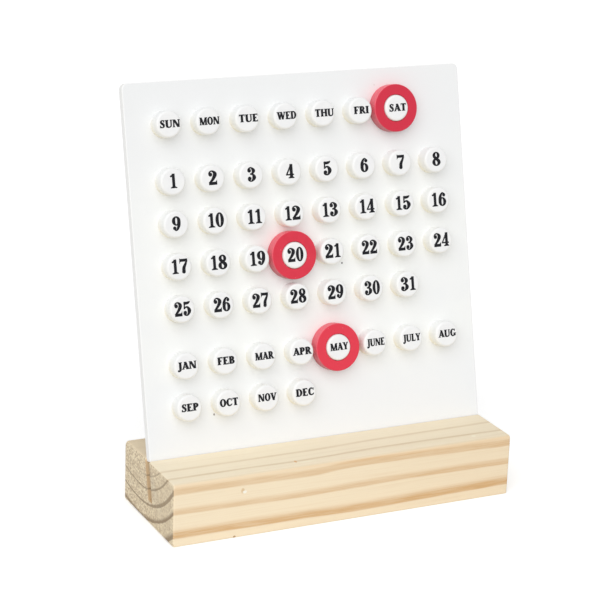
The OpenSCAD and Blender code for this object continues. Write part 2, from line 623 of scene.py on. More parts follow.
def reach(node: str, axis: Array) -> Array:
    """How far a solid reaches along a direction.

    Args:
        node: the solid's name.
        axis: the direction, of length 1.

    Returns:
        The lowest and the highest place along it, in metres.
    """
    mesh = frame["nodes"][node].data
    points = np.empty(3 * len(mesh.vertices))
    mesh.vertices.foreach_get("co", points)
    along = points.reshape(-1, 3) @ axis
    return np.array([along.min(), along.max()])


class BoardFrame:
    """The board's own directions: right, up the board and out of its face."""

    def __init__(self) -> None:
        """Take the directions from the joints that lift the board and pull a ring off it."""
        self.axes = np.array([[1.0, 0.0, 0.0], axis_of("board_lift"), axis_of("ring_date_pull")])

    def span(self, node: str) -> Array:
        """A solid's lowest and highest place along right, up and out in millimetres, in pairs."""
        return np.array([reach(node, axis) for axis in self.axes]) / MM

    def world(self, points: Array) -> Array:
        """Points given along right, up and out in millimetres, in the object's frame in metres."""
        return points @ self.axes * MM


def grid_faces(rows: int, columns: int, wrap_rows: bool, wrap_columns: bool = True) -> Indices:
    """Four-cornered faces between neighbours on a grid of points.

    Args:
        rows: rows in the grid.
        columns: points in a row.
        wrap_rows: whether the last row joins the first.
        wrap_columns: whether a row's last point joins its first.

    Returns:
        The faces, as indices into the points, row by row.
    """
    row, column = np.meshgrid(
        np.arange(rows - (not wrap_rows)), np.arange(columns - (not wrap_columns)), indexing="ij")
    near, far = row * columns, (row + 1) % rows * columns
    right = (column + 1) % columns
    return np.stack([near + column, near + right, far + right, far + column], -1).reshape(-1, 4)


def capped_faces(rows: int, columns: int) -> list[Face]:
    """The faces of a closed form of stacked rings: its grid, and a face across each end."""
    first = np.arange(columns)
    last = first + (rows - 1) * columns
    return [*grid_faces(rows, columns, False).tolist(), first[::-1].tolist(), last.tolist()]


def raised(rows: Array, heights: Array) -> Array:
    """Rows of flat points, each row at a height of its own, as one list of places."""
    level = np.broadcast_to(heights[:, None, None], (*rows.shape[:2], 1))
    return np.concatenate([rows, level], -1).reshape(-1, 3)


def turned(section: Array, centre: Array, turns: int) -> tuple[Array, Array]:
    """Turn a section about an axis that stands on the board.

    A point at some distance from the axis goes to the centre plus that distance times the cosine
    and the sine of each angle, and keeps its height.

    Args:
        section: distances from the axis and heights, one row each.
        centre: the axis's place along right and up.
        turns: steps round the axis.

    Returns:
        Points along right, up and out, by row of the section, and the angles.
    """
    around = np.linspace(0, 2 * math.pi, turns, endpoint=False)
    circle = np.stack([np.cos(around), np.sin(around)], -1)
    return raised(centre + section[:, None, :1] * circle, section[:, 1]), around


@dataclass(frozen=True)
class Outline:
    """A closed outline with its outward directions, in corners of equal point counts."""

    points: Array
    normals: Array

    @classmethod
    def rounded(cls, corners: Sequence[Place], steps: int = 8, ease: float = 0.15) -> "Outline":
        """Round the corners of a polygon.

        At each corner the sides stop short by the radius times the tangent of half the turn, and a
        point swings from one side to the next about the arc's centre. A point is added on each
        side next to its arc, so that flat stretches shade flat.

        Args:
            corners: each corner's place and radius in millimetres, anticlockwise.
            steps: points along each arc.
            ease: distance from an arc's end to the added point, in millimetres.

        Returns:
            The outline, with points and directions by corner, in millimetres.
        """
        place, radius = np.array(corners)[:, :2], np.array(corners)[:, 2]
        ahead = np.roll(place, -1, 0) - place
        leave = ahead / np.linalg.norm(ahead, axis=1, keepdims=True)
        come = np.roll(leave, 1, 0)
        turn = np.arctan2(come[:, 0] * leave[:, 1] - come[:, 1] * leave[:, 0], (come * leave).sum(1))
        start = place - come * (radius * np.tan(np.abs(turn) / 2))[:, None]
        outward = np.stack([come[:, 1], -come[:, 0]], 1)
        centre = start - outward * (radius * np.sign(turn))[:, None]
        swing = turn[:, None] * np.linspace(0, 1, steps)
        cos, sin = np.cos(swing), np.sin(swing)
        normals = np.stack([
            outward[:, None, 0] * cos - outward[:, None, 1] * sin,
            outward[:, None, 0] * sin + outward[:, None, 1] * cos], -1)
        arcs = centre[:, None] + normals * (radius * np.sign(turn))[:, None, None]
        before = arcs[:, :1] - come[:, None] * ease
        after = arcs[:, -1:] + leave[:, None] * ease
        points = np.concatenate([before, arcs, after], 1)
        return cls(points, np.concatenate([normals[:, :1], normals, normals[:, -1:]], 1))


def make_piece(
        name: str, points: Array, faces: list[Face], material: Material, body: Body,
        node: str | None = None, slot: Slot | None = None, **marks: Array
) -> None:
    """Put points and faces into a mesh, dress it and let it ride on a body.

    Args:
        name: the piece's name.
        points: places in metres in the object's frame, one row each.
        faces: indices of each face's points.
        material: what the piece is dressed in.
        body: the body that carries it.
        node: the solid that it stands for, if there is one.
        slot: the record's slot for the piece's finish, if there is one; not used.
        marks: numbers that the mesh carries at each point or face, by name.
    """
    mesh = bpy.data.meshes.new(name)
    mesh.from_pydata(points.tolist(), [], faces)
    mesh.shade_smooth()
    mesh.set_sharp_from_angle(angle=math.radians(SHARP_DEGREES))
    for mark, values in marks.items():
        domain = "POINT" if len(values) == len(points) else "FACE"
        mesh.attributes.new(mark, "FLOAT", domain).data.foreach_set("value", values.astype(np.float32))
    mesh.materials.append(material)
    piece = bpy.data.objects.new(name, mesh)
    bpy.context.scene.collection.objects.link(piece)
    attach(piece, body.value)
    if node is not None:
        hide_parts(node)
    log.info("%s: %d faces on %s", name, len(faces), body.value)


@dataclass(frozen=True)
class PineBase:
    """The pine block with its slanted slot. Radii and sizes are in millimetres."""

    node: str = "base_block"
    front_radius: float = 2.0
    rear_radius: float = 3.8
    foot_radius: float = 0.45
    end_radius: float = 1.2
    lip_radius: float = 0.25
    least_radius: float = 0.1
    slot_gap: float = 0.3
    slot_droop: float = 1.3
    heel_radius: float = 0.9
    end_steps: int = 7

    def section(self, board: BoardFrame, inset: float) -> Outline:
        """The block's section across its length, drawn in from its outer faces.

        Args:
            board: the board's directions, which the slot follows.
            inset: how far it is drawn in, up to the end radius.

        Returns:
            The outline in depth and height, by corner, anticlockwise from the front foot. The
            slot's rear lip, its floor's two corners and its front lip are corners 3 to 6.
        """
        low, high = (np.array(corner[1:]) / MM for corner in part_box(self.node))
        front, rear, top = low[0] + inset, high[0] - inset, high[1] - inset
        sole = low[1] + inset * self.heel_radius / self.end_radius
        up, out = board.axes[1, 1:], board.axes[2, 1:]
        _, (foot, _), (back, face) = board.span("calendar_board")
        walls = np.array([back, face + self.slot_gap])
        rear_lip, front_lip = ((wall - top * out[1]) / out[0] for wall in walls)
        rear_floor, front_floor = foot * up + walls[:, None] * out
        front_floor = front_floor - self.slot_droop * up
        radii = np.array([self.front_radius, self.rear_radius, self.foot_radius])
        front_r, rear_r, foot_r = np.maximum(radii, inset + self.least_radius) - inset
        return Outline.rounded([
            (front, sole, foot_r), (rear, sole, foot_r), (rear, top, rear_r),
            (rear_lip, top, self.lip_radius), (*rear_floor, self.lip_radius),
            (*front_floor, self.lip_radius), (front_lip, top, self.lip_radius), (front, top, front_r)])

    def build(self, board: BoardFrame, material: Material) -> None:
        """Carry the section along the block, drawn in at both ends by a quarter circle.

        At an angle a from the end face the section stands back from the end by the end radius
        times one less the sine of a, and is drawn in by that radius times one less its cosine.
        The faces in the slot carry a mark.

        Args:
            board: the board's directions.
            material: the pine.
        """
        low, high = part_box(self.node)
        angle = np.linspace(math.pi / 2, 0, self.end_steps)
        back = self.end_radius * (1 - np.sin(angle))
        drawn = self.end_radius * (1 - np.cos(angle))
        stations = np.concatenate([low[0] / MM + back, high[0] / MM - back[::-1]])
        inset = np.concatenate([drawn, drawn[::-1]])
        rows = np.stack([self.section(board, float(step)).points.reshape(-1, 2) for step in inset])
        along = np.broadcast_to(stations[:, None, None], (*rows.shape[:2], 1))
        points = np.concatenate([along, rows], -1).reshape(-1, 3) * MM
        slot = np.zeros(self.section(board, 0.0).points.shape[:2])
        half = slot.shape[1] // 2
        slot[3, half:] = slot[4:6] = slot[6, :half] = 1.0
        sawn = slot.reshape(-1) * np.roll(slot.reshape(-1), -1)
        kerf = np.concatenate([np.tile(sawn, len(stations) - 1), [0.0, 0.0]])
        make_piece(
            "pine_base", points, capped_faces(*rows.shape[:2]), material, Body.BASE,
            self.node, Slot.PINE, kerf=kerf)


@dataclass(frozen=True)
class WhiteBoard:
    """The leaning board and its tongue. Radii and sizes are in millimetres."""

    node: str = "calendar_board"
    corner_radius: float = 3.0
    heel_radius: float = 0.8
    tongue_inset: float = 12.0
    tongue_radius: float = 2.0
    nook_radius: float = 0.5
    corner_steps: int = 10
    sink: float = 0.8
    edge_radius: float = 0.5
    edge_steps: int = 6
    ease: float = 0.2

    def build(self, board: BoardFrame, material: Material) -> None:
        """Stack the board's outline from back to front, drawn in at both faces by a quarter circle.

        Args:
            board: the board's directions.
            material: the white plastic.
        """
        (left, right), (foot, top), (back, front) = board.span(self.node)
        base_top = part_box("base_block")[1][2] / MM
        out = board.axes[2]
        line = np.array([0.0, (front - base_top * out[2]) / out[1], base_top])
        shoulder = float(line @ board.axes[1]) - self.sink
        inner_left, inner_right = left + self.tongue_inset, right - self.tongue_inset
        outline = Outline.rounded([
            (inner_left, foot, self.tongue_radius), (inner_right, foot, self.tongue_radius),
            (inner_right, shoulder, self.nook_radius), (right, shoulder, self.heel_radius),
            (right, top, self.corner_radius), (left, top, self.corner_radius),
            (left, shoulder, self.heel_radius), (inner_left, shoulder, self.nook_radius)],
            self.corner_steps)
        angle = np.linspace(0, math.pi / 2, self.edge_steps)
        edge, flat = self.edge_radius, self.edge_radius + self.ease
        drawn = np.concatenate([[flat], edge * (1 - np.sin(angle)), [0.0]])
        risen = np.concatenate([[0.0], edge * (1 - np.cos(angle)), [flat]])
        inset = np.concatenate([drawn, drawn[::-1]])
        height = np.concatenate([back + risen, front - risen[::-1]])
        rows = outline.points.reshape(-1, 2) - inset[:, None, None] * outline.normals.reshape(-1, 2)
        # The sides carry a mark where the material paints them paler: painted light.
        wall = np.repeat((inset < edge / 2).astype(float), rows.shape[1])
        make_piece(
            "white_board", board.world(raised(rows, height)), capped_faces(*rows.shape[:2]), material,
            Body.BOARD, self.node, Slot.BOARD, wall=wall)


@dataclass(frozen=True)
class Stud:
    """One round stud on the board, with a soft rim. Sizes are in millimetres."""

    node: str
    rim_radius: float = 1.2
    rim_shade: float = 0.3
    level_shade: float = 0.4
    under_shade: float = 0.6
    rim_steps: int = 8
    turns: int = 72
    ease: float = 0.15

    def build(self, board: BoardFrame, material: Material) -> None:
        """Turn the stud's profile about its axis: up the wall, a quarter circle, in along the face.

        The wall carries a second mark, a painted shade, which grows towards its underside and
        towards the board.

        Args:
            board: the board's directions.
            material: the white plastic.
        """
        span = board.span(self.node)
        low, high = span[2]
        radius, rim = np.ptp(span[0]) / 2, self.rim_radius
        angle = np.linspace(0, math.pi / 2, self.rim_steps)
        outward = np.concatenate([
            [radius, radius], radius - rim * (1 - np.cos(angle)), [radius - rim - self.ease]])
        height = np.concatenate([
            [low, high - rim - self.ease], high - rim * (1 - np.sin(angle)), [high]])
        points, around = turned(np.stack([outward, height], -1), span[:2].mean(1), self.turns)
        wall = np.concatenate([[1.0, 1.0], np.cos(angle), [0.0]])
        hind = np.concatenate([[1.0, self.rim_shade], self.rim_shade * np.cos(angle), [0.0]])
        # Painted shade: strongest at the wall's foot and on its lower side.
        under = hind[:, None] * np.clip(self.level_shade - self.under_shade * np.sin(around), 0, 1)
        make_piece(
            f"white_{self.node}", board.world(points), capped_faces(len(height), self.turns), material,
            Body.BOARD, self.node, Slot.STUD, wall=np.repeat(wall, self.turns), under=under.reshape(-1))


@dataclass(frozen=True)
class MarkerRing:
    """A red ring that slips over a stud. Sizes are in millimetres."""

    node: str
    body: Body
    stud: str
    clearance: float = 0.2
    edge_radius: float = 0.4
    bore_radius: float = 0.2
    hind_shade: float = 0.8
    turns: int = 128

    def build(self, board: BoardFrame, material: Material) -> None:
        """Turn the ring's rounded section about its axis.

        The wall carries a second mark, a painted shade, which grows towards its underside and
        towards the board.

        Args:
            board: the board's directions.
            material: the red plastic.
        """
        span = board.span(self.node)
        low, high = span[2]
        outer = np.ptp(span[0]) / 2
        inner = np.ptp(board.span(self.stud)[0]) / 2 + self.clearance
        section = Outline.rounded([
            (inner, low, self.bore_radius), (outer, low, self.edge_radius),
            (outer, high, self.edge_radius), (inner, high, self.bore_radius)]).points.reshape(-1, 2)
        points, around = turned(section, span[:2].mean(1), self.turns)
        # The outer wall carries a mark where the material paints it paler: painted reflection and light.
        wall = (section[:, 0] > outer - self.edge_radius / 2).astype(float)
        hind = self.hind_shade * (section[:, 1:] < (low + high) / 2)
        # Painted shade: a darker red on the wall's lower side and near the board.
        under = wall[:, None] * np.clip(hind - np.sin(around), 0, 1)
        make_piece(
            f"red_{self.node}", board.world(points), grid_faces(len(section), self.turns, True).tolist(),
            material, self.body, self.node, Slot.RING,
            wall=np.repeat(wall, self.turns), under=under.reshape(-1))


class Stroke:
    """One stroke of a letter or number, in shares of its height, given by its two edges."""

    def edges(self) -> tuple[Array, Array]:
        """Points along the stroke's one edge and its other, as many on each."""
        raise NotImplementedError


THICK = 0.3
THIN = 0.15
HAIR = 0.085
SERIF = 0.085
NONE = (0.0, 0.0)
BOTH = (SERIF, SERIF)
LEFT = (SERIF, 0.0)
RIGHT = (0.0, SERIF)
TOP, MIDDLE, FOOT = 0.945, 0.51, 0.055


def crowded(count: int) -> Array:
    """Shares from 0 to 1 that lie closer together near both ends: half of one less a cosine."""
    return (1 - np.cos(np.linspace(0, math.pi, count))) / 2


@dataclass(frozen=True)
class Stem(Stroke):
    """A straight stroke from foot to head, cut level, that flares into serifs at its ends.

    Half its width grows near an end by the serif's reach times a power of how far the point is
    into the flare.
    """

    x: float
    width: float = THICK
    lean: float = 0.0
    bottom: float = 0.0
    top: float = 1.0
    foot: Pair = BOTH
    head: Pair = BOTH
    slab: float = 0.065
    flare: float = 0.11
    flare_power: int = 3
    count: int = 26

    def edges(self) -> tuple[Array, Array]:
        """The left and the right edge, from foot to head."""
        step = crowded(self.count)
        y = self.bottom + (self.top - self.bottom) * step
        middle = self.x + self.lean * step
        low = np.clip(1 - (y - self.bottom - self.slab) / self.flare, 0, 1) ** self.flare_power
        high = np.clip(1 - (self.top - self.slab - y) / self.flare, 0, 1) ** self.flare_power
        left = middle - self.width / 2 - low * self.foot[0] - high * self.head[0]
        right = middle + self.width / 2 + low * self.foot[1] + high * self.head[1]
        return np.stack([left, y], -1), np.stack([right, y], -1)


@dataclass(frozen=True)
class Arm(Stroke):
    """A level stroke whose ends may widen into beaks, upwards or downwards.

    Half its height grows near an end by the beak's reach times a power of how far the point is
    into the beak.
    """

    left: float
    right: float
    y: float
    height: float = 0.11
    right_beak: Pair = NONE
    left_beak: Pair = NONE
    beak: float = 0.13
    beak_power: float = 1.6
    count: int = 18

    def edges(self) -> tuple[Array, Array]:
        """The lower and the upper edge, from left to right."""
        x = self.left + (self.right - self.left) * crowded(self.count)
        near = np.clip(1 - (x - self.left) / self.beak, 0, 1) ** self.beak_power
        far = np.clip(1 - (self.right - x) / self.beak, 0, 1) ** self.beak_power
        low = self.y - self.height / 2 - near * self.left_beak[0] - far * self.right_beak[0]
        high = self.y + self.height / 2 + near * self.left_beak[1] + far * self.right_beak[1]
        return np.stack([x, low], -1), np.stack([x, high], -1)


@dataclass(frozen=True)
class Bowl(Stroke):
    """A round stroke between an outer and an inner ellipse, from one angle to another.

    The outer radii less the stroke's width at the side and at the crown give the inner ones.
    """

    x: float
    y: float
    across: float
    high: float
    start: float = 0.0
    stop: float = 360.0
    side: float = THICK
    crown: float = 0.11
    point_angle: float = 8.0
    least_count: int = 8

    def edges(self) -> tuple[Array, Array]:
        """The outer and the inner edge, anticlockwise."""
        count = self.least_count + round(abs(self.stop - self.start) / self.point_angle)
        angle = np.radians(np.linspace(self.start, self.stop, count))
        middle, turn = np.array([self.x, self.y]), np.stack([np.cos(angle), np.sin(angle)], -1)
        outer = np.array([self.across, self.high])
        return middle + turn * outer, middle + turn * (outer - np.array([self.side, self.crown]))


@dataclass(frozen=True)
class Sweep(Stroke):
    """A smooth stroke of changing width through points of x, y and width.

    Between two points each value follows the cubic whose slope at a point is half the difference
    of its neighbours.
    """

    points: tuple[Place, ...]
    count: int = 9

    def edges(self) -> tuple[Array, Array]:
        """The edges to the left and the right of the way along the stroke."""
        given = np.array(self.points)
        ends = np.concatenate([2 * given[:1] - given[1:2], given, 2 * given[-1:] - given[-2:-1]])
        a, b, c, d = ends[:-3, None], ends[1:-2, None], ends[2:-1, None], ends[3:, None]
        t = np.linspace(0, 1, self.count)[None, :, None]
        cubic = b + t / 2 * (c - a + t * (2 * a - 5 * b + 4 * c - d + t * (3 * (b - c) + d - a)))
        line = np.concatenate([cubic[:, :-1].reshape(-1, 3), given[-1:]])
        way = np.gradient(line[:, :2], axis=0)
        way /= np.linalg.norm(way, axis=1, keepdims=True)
        half = np.stack([-way[:, 1], way[:, 0]], -1) * line[:, 2:] / 2
        return line[:, :2] + half, line[:, :2] - half


@dataclass(frozen=True)
class Ball(Stroke):
    """A round end of a stroke: points at equal distances from its middle.

    Its halves stop a small angle short of each other.
    """

    x: float
    y: float
    radius: float
    gap: float = 0.02
    count: int = 22

    def edges(self) -> tuple[Array, Array]:
        """The upper and the lower half circle, from right to left."""
        angle = np.linspace(self.gap, math.pi - self.gap, self.count)
        middle = np.array([self.x, self.y])
        turn = self.radius * np.stack([np.cos(angle), np.sin(angle)], -1)
        return middle + turn, middle + turn * [1, -1]


@dataclass(frozen=True)
class Reshaped(Stroke):
    """A stroke whose points are scaled, or turned where a scale is below 0, and then moved."""

    stroke: Stroke
    scale: Pair
    shift: Pair

    def edges(self) -> tuple[Array, Array]:
        """The stroke's two edges in their new places."""
        one, other = self.stroke.edges()
        return one * self.scale + self.shift, other * self.scale + self.shift


@dataclass(frozen=True)
class Glyph:
    """A letter or number: the width that it takes up and its strokes."""

    width: float
    strokes: tuple[Stroke, ...]

    def reshaped(self, scale: Pair, shift: Pair) -> "Glyph":
        """The same sign, scaled or turned and then moved."""
        strokes = tuple(Reshaped(stroke, scale, shift) for stroke in self.strokes)
        return Glyph(self.width * abs(scale[0]), strokes)

    def widened(self, share: float) -> "Glyph":
        """The same sign, drawn out to the right."""
        return self.reshaped((share, 1.0), NONE)

    def upside_down(self) -> "Glyph":
        """The same sign, turned by half a turn about its middle."""
        return self.reshaped((-1.0, -1.0), (self.width, 1.0))


SIX = Glyph(0.66, (
    Bowl(0.335, 0.31, 0.31, 0.32, side=0.235, crown=HAIR),
    Sweep(((0.14, 0.33, 0.235), (0.16, 0.62, 0.22), (0.27, 0.87, 0.15), (0.39, 0.95, HAIR),
           (0.5, 0.87, HAIR))),
    Ball(0.48, 0.8, 0.12)))
NUMBERS = {
    "0": Glyph(0.67, (Bowl(0.335, 0.5, 0.31, 0.51, side=0.235, crown=HAIR),)),
    "1": Glyph(0.58, (
        Stem(0.31, 0.2, foot=(0.13, 0.13), head=NONE),
        Sweep(((0.4, 0.955, 0.09), (0.25, 0.875, 0.13), (0.08, 0.8, 0.09))))),
    "2": Glyph(0.65, (
        Ball(0.17, 0.72, 0.13),
        Sweep(((0.06, 0.74, HAIR), (0.13, 0.9, HAIR), (0.31, 0.95, 0.1), (0.48, 0.75, 0.25),
               (0.36, 0.45, 0.2), (0.12, 0.16, 0.12))),
        Arm(0.04, 0.6, 0.1, 0.2, right_beak=(0.0, 0.14), beak=0.12))).widened(1.09),
    "3": Glyph(0.65, (
        Ball(0.165, 0.77, 0.125), Ball(0.17, 0.22, 0.13),
        Sweep(((0.07, 0.81, HAIR), (0.17, 0.935, HAIR), (0.32, 0.955, 0.1), (0.465, 0.76, 0.24),
               (0.37, 0.57, 0.12), (0.22, 0.525, HAIR))),
        Sweep(((0.22, 0.525, HAIR), (0.4, 0.49, 0.13), (0.49, 0.27, 0.26), (0.33, 0.045, 0.1),
               (0.16, 0.06, HAIR), (0.06, 0.18, HAIR))))).widened(1.08),
    "4": Glyph(0.66, (
        Stem(0.44, 0.22, foot=(0.12, 0.1), head=NONE),
        Arm(0.02, 0.64, 0.26, 0.09),
        Sweep(((0.44, 0.96, 0.12), (0.26, 0.62, 0.1), (0.07, 0.27, 0.09))))),
    "5": Glyph(0.65, (
        Sweep(((0.13, 0.95, 0.1), (0.135, 0.72, 0.09), (0.12, 0.46, 0.09))),
        Sweep(((0.1, 0.875, 0.2), (0.28, 0.865, 0.19), (0.44, 0.9, 0.16), (0.56, 0.985, 0.04))),
        Sweep(((0.12, 0.47, HAIR), (0.21, 0.58, 0.09), (0.37, 0.575, 0.14), (0.49, 0.33, 0.26),
               (0.36, 0.06, 0.12), (0.17, 0.05, HAIR), (0.06, 0.16, HAIR))),
        Ball(0.17, 0.21, 0.13))).widened(1.09),
    "6": SIX,
    "7": Glyph(0.63, (
        Arm(0.05, 0.6, 0.9, 0.19, left_beak=(0.15, 0.05), beak=0.09),
        Sweep(((0.56, 0.87, 0.1), (0.45, 0.62, 0.16), (0.34, 0.38, 0.21), (0.32, 0.1, 0.23))),
        Ball(0.32, 0.11, 0.125))).widened(1.08),
    "8": Glyph(0.67, (
        Bowl(0.335, 0.745, 0.265, 0.265, side=0.2, crown=HAIR),
        Bowl(0.335, 0.27, 0.31, 0.28, side=0.225, crown=HAIR),
        Sweep(((0.15, 0.72, 0.18), (0.335, 0.52, 0.2), (0.53, 0.29, 0.19))))).widened(1.08),
    "9": SIX.upside_down(),
}

SPINE = Stem(0.24, foot=LEFT, head=LEFT)
POST = Stem(0.24, head=LEFT)
EAVE = Arm(0.18, 0.45, TOP)
SPUR = Sweep(((0.76, 0.65, 0.04), (0.78, 0.82, 0.085), (0.79, 0.99, 0.09)))

LETTERS = {
    "A": Glyph(0.98, (
        Stem(0.13, THIN, 0.37, head=NONE), Stem(0.82, 0.32, -0.36, head=NONE), Arm(0.22, 0.74, 0.3))),
    "B": Glyph(0.86, (
        SPINE, EAVE, Arm(0.24, 0.45, MIDDLE), Arm(0.18, 0.45, FOOT),
        Bowl(0.43, 0.73, 0.32, 0.27, -90, 90, 0.27), Bowl(0.43, 0.275, 0.38, 0.275, -90, 90, 0.29))),
    "C": Glyph(0.9, (
        Bowl(0.47, 0.5, 0.44, 0.515, 48, 312),
        SPUR,
        Sweep(((0.71, 0.11, 0.13), (0.79, 0.19, 0.09), (0.84, 0.29, 0.05))))),
    "D": Glyph(0.98, (
        SPINE, Arm(0.18, 0.47, TOP), Arm(0.18, 0.47, FOOT),
        Bowl(0.44, 0.5, 0.5, 0.5, -90, 90))),
    "E": Glyph(0.84, (
        SPINE, Arm(0.18, 0.75, TOP, right_beak=(0.18, 0)),
        Arm(0.24, 0.57, MIDDLE, right_beak=(0.1, 0.1)), Arm(0.18, 0.79, FOOT, right_beak=(0, 0.2)))),
    "F": Glyph(0.8, (
        POST, Arm(0.18, 0.75, TOP, right_beak=(0.2, 0)),
        Arm(0.24, 0.57, MIDDLE, right_beak=(0.1, 0.1)))),
    "G": Glyph(0.97, (
        Bowl(0.47, 0.5, 0.44, 0.515, 48, 318),
        SPUR,
        Stem(0.79, 0.28, bottom=0.06, top=0.46, foot=NONE))),
    "H": Glyph(1.08, (Stem(0.24), Stem(0.84), Arm(0.24, 0.84, MIDDLE))),
    "I": Glyph(0.5, (Stem(0.25),)),
    "J": Glyph(0.6, (
        Stem(0.37, bottom=0.12, foot=NONE),
        Sweep(((0.37, 0.14, THICK), (0.34, -0.05, 0.26), (0.2, -0.17, 0.15), (0.04, -0.2, HAIR))),
        Ball(0.08, -0.13, 0.1))),
    "L": Glyph(0.82, (Stem(0.24, foot=LEFT), Arm(0.18, 0.79, FOOT, right_beak=(0, 0.24)))),
    "M": Glyph(1.26, (
        Stem(0.17, THIN, head=NONE), Stem(0.62, 0.31, -0.4, foot=NONE, head=LEFT),
        Stem(0.62, THIN, 0.36, foot=NONE, head=NONE), Stem(1.05, 0.28, head=RIGHT))),
    "N": Glyph(1.06, (
        Stem(0.17, THIN, head=NONE), Stem(0.82, 0.32, -0.6, foot=NONE, head=LEFT),
        Stem(0.88, THIN, foot=NONE))),
    "O": Glyph(0.98, (Bowl(0.49, 0.5, 0.46, 0.515),)),
    "P": Glyph(0.84, (
        POST, EAVE, Arm(0.24, 0.45, 0.465), Bowl(0.43, 0.705, 0.37, 0.295, -90, 90))),
    "R": Glyph(0.96, (
        POST, EAVE, Arm(0.24, 0.48, 0.485), Bowl(0.43, 0.715, 0.36, 0.285, -90, 90),
        Stem(0.82, 0.3, -0.32, top=0.5, foot=RIGHT, head=NONE))),
    "S": Glyph(0.75, (
        Sweep(((0.6, 0.76, 0.06), (0.5, 0.91, 0.11), (0.34, 0.945, 0.11), (0.19, 0.82, 0.2),
               (0.225, 0.66, 0.26), (0.385, 0.52, 0.29), (0.54, 0.37, 0.26), (0.555, 0.19, 0.21),
               (0.39, 0.055, 0.11), (0.2, 0.08, 0.11), (0.09, 0.26, 0.06))),
        Sweep(((0.59, 0.67, 0.04), (0.61, 0.85, 0.09), (0.61, 1.0, 0.09))),
        Sweep(((0.095, 0.34, 0.04), (0.08, 0.16, 0.09), (0.08, 0.0, 0.09))))),
    "T": Glyph(0.92, (
        Stem(0.46, head=NONE), Arm(0.05, 0.87, TOP, right_beak=(0.2, 0), left_beak=(0.2, 0)))),
    "U": Glyph(1.04, (
        Stem(0.24, bottom=0.3, foot=NONE), Stem(0.84, THIN, bottom=0.3, foot=NONE),
        Sweep(((0.24, 0.34, THICK), (0.28, 0.16, 0.27), (0.46, 0.055, 0.15), (0.65, 0.07, 0.12),
               (0.8, 0.17, 0.13), (0.84, 0.34, THIN))))),
    "V": Glyph(1.0, (Stem(0.52, 0.31, -0.32, foot=NONE), Stem(0.52, THIN, 0.34, foot=NONE))),
    "W": Glyph(1.4, (
        Stem(0.46, 0.3, -0.27, foot=NONE), Stem(0.46, THIN, 0.25, foot=NONE, head=NONE),
        Stem(0.96, 0.3, -0.28, foot=NONE, head=LEFT), Stem(0.96, THIN, 0.3, foot=NONE))),
    "Y": Glyph(0.98, (
        Stem(0.5, top=0.46, head=NONE), Stem(0.5, 0.3, -0.31, bottom=0.38, foot=NONE),
        Stem(0.52, THIN, 0.31, bottom=0.38, foot=NONE))),
}


